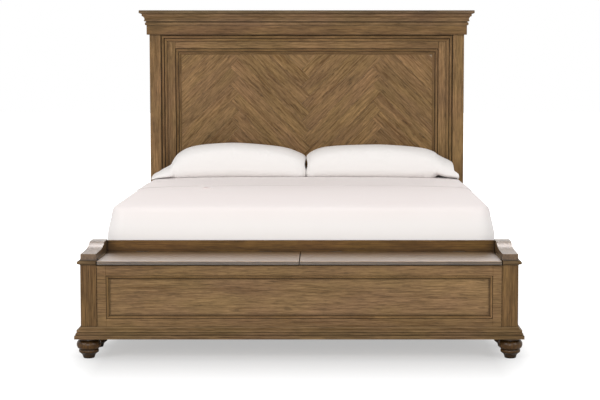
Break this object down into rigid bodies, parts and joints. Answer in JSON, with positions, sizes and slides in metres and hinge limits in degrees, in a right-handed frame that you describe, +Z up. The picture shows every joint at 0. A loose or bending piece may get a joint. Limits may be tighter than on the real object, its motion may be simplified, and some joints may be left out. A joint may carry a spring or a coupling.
{
  "type": "storage bed",
  "caption": "King-size bed with a herringbone panelled headboard and a storage bench footboard with two lift-up lids.",
  "frame": {"origin": "on the floor, under the centre of the bed's overall box", "axes": "+X across the bed to the right as seen from its foot, +Y from the foot end to the headboard, +Z up"},
  "size_m": [2.1426, 2.4903, 1.736],
  "materials": {
    "walnut": "weathered light walnut stain, open grain, matt lacquer",
    "walnut_lid": "same stain under a satin lacquer",
    "walnut_panel": "long-grain veneer, matt lacquer",
    "walnut_moulding": "stained mouldings with darker quirks",
    "herringbone_rising": "veneered planks, grain rising to the right",
    "herringbone_falling": "veneered planks, grain falling to the right",
    "carcase_board": "plain plywood, clear sealed",
    "pine": "planed softwood",
    "steel": "zinc plated",
    "bumper_rubber": "soft black rubber",
    "mattress_ticking": "quilted knit ticking",
    "cotton_sheet": "white percale, smooth",
    "cotton_case": "white percale pillow case"
  },
  "bodies": {
    "bed": {"base_moulding_front": "walnut_moulding", "base_moulding_side_left": "walnut_moulding", "base_moulding_side_right": "walnut_moulding", "beam_legs": "pine", "bench_arm_left": "walnut", "bench_arm_right": "walnut", "bench_back": "walnut", "bench_bead": "walnut_moulding", "bench_bottom": "carcase_board", "bench_bottom_rail": "walnut", "bench_divider": "carcase_board", "bench_end_left": "walnut", "bench_end_liners": "carcase_board", "bench_end_right": "walnut", "bench_front_panel": "walnut_panel", "bench_panel_trim": "walnut_moulding", "bench_post_front_left": "walnut", "bench_post_front_right": "walnut", "bench_post_rear_left": "walnut", "bench_post_rear_right": "walnut", "bench_stile_left": "walnut", "bench_stile_right": "walnut", "bench_top_rail": "walnut", "bun_foot_front_left": "walnut_moulding", "bun_foot_front_right": "walnut_moulding", "bun_foot_rear_left": "walnut_moulding", "bun_foot_rear_right": "walnut_moulding", "centre_beam": "pine", "crown_cap": "walnut", "crown_moulding": "walnut_moulding", "frieze_beam": "walnut", "headboard_backing": "carcase_board", "headboard_bead": "walnut_moulding", "headboard_cross_rail": "walnut", "headboard_lower_panel": "carcase_board", "headboard_panel_trim": "walnut_moulding", "headboard_post_left": "walnut", "headboard_post_right": "walnut", "headboard_stile_left": "walnut", "headboard_stile_right": "walnut", "headboard_top_rail": "walnut", "herringbone_falling": "herringbone_falling", "herringbone_rising": "herringbone_rising", "hinge_fixed_leaves": "steel", "hinge_pins": "steel", "lid_bumpers": "bumper_rubber", "mattress": "mattress_ticking", "pillow_left": "cotton_case", "pillow_right": "cotton_case", "post_catch_plates": "steel", "rail_cleats": "pine", "rail_hook_plates": "steel", "sheet": "cotton_sheet", "side_rail_left": "walnut", "side_rail_right": "walnut", "slats": "pine"},
    "lid_left": {"lid_left": "walnut_lid", "hinge_lid_leaves_left": "steel"},
    "lid_right": {"lid_right": "walnut_lid", "hinge_lid_leaves_right": "steel"}
  },
  "joints": [
    {"name": "lid_left_hinge", "type": "hinge", "parent": "bed", "child": "lid_left", "pos_m": [0, -0.87725, 0.4695], "axis": [-1, 0, 0], "range_deg": [0, 90]},
    {"name": "lid_right_hinge", "type": "hinge", "parent": "bed", "child": "lid_right", "pos_m": [0, -0.87725, 0.4695], "axis": [-1, 0, 0], "range_deg": [0, 90]}
  ]
}
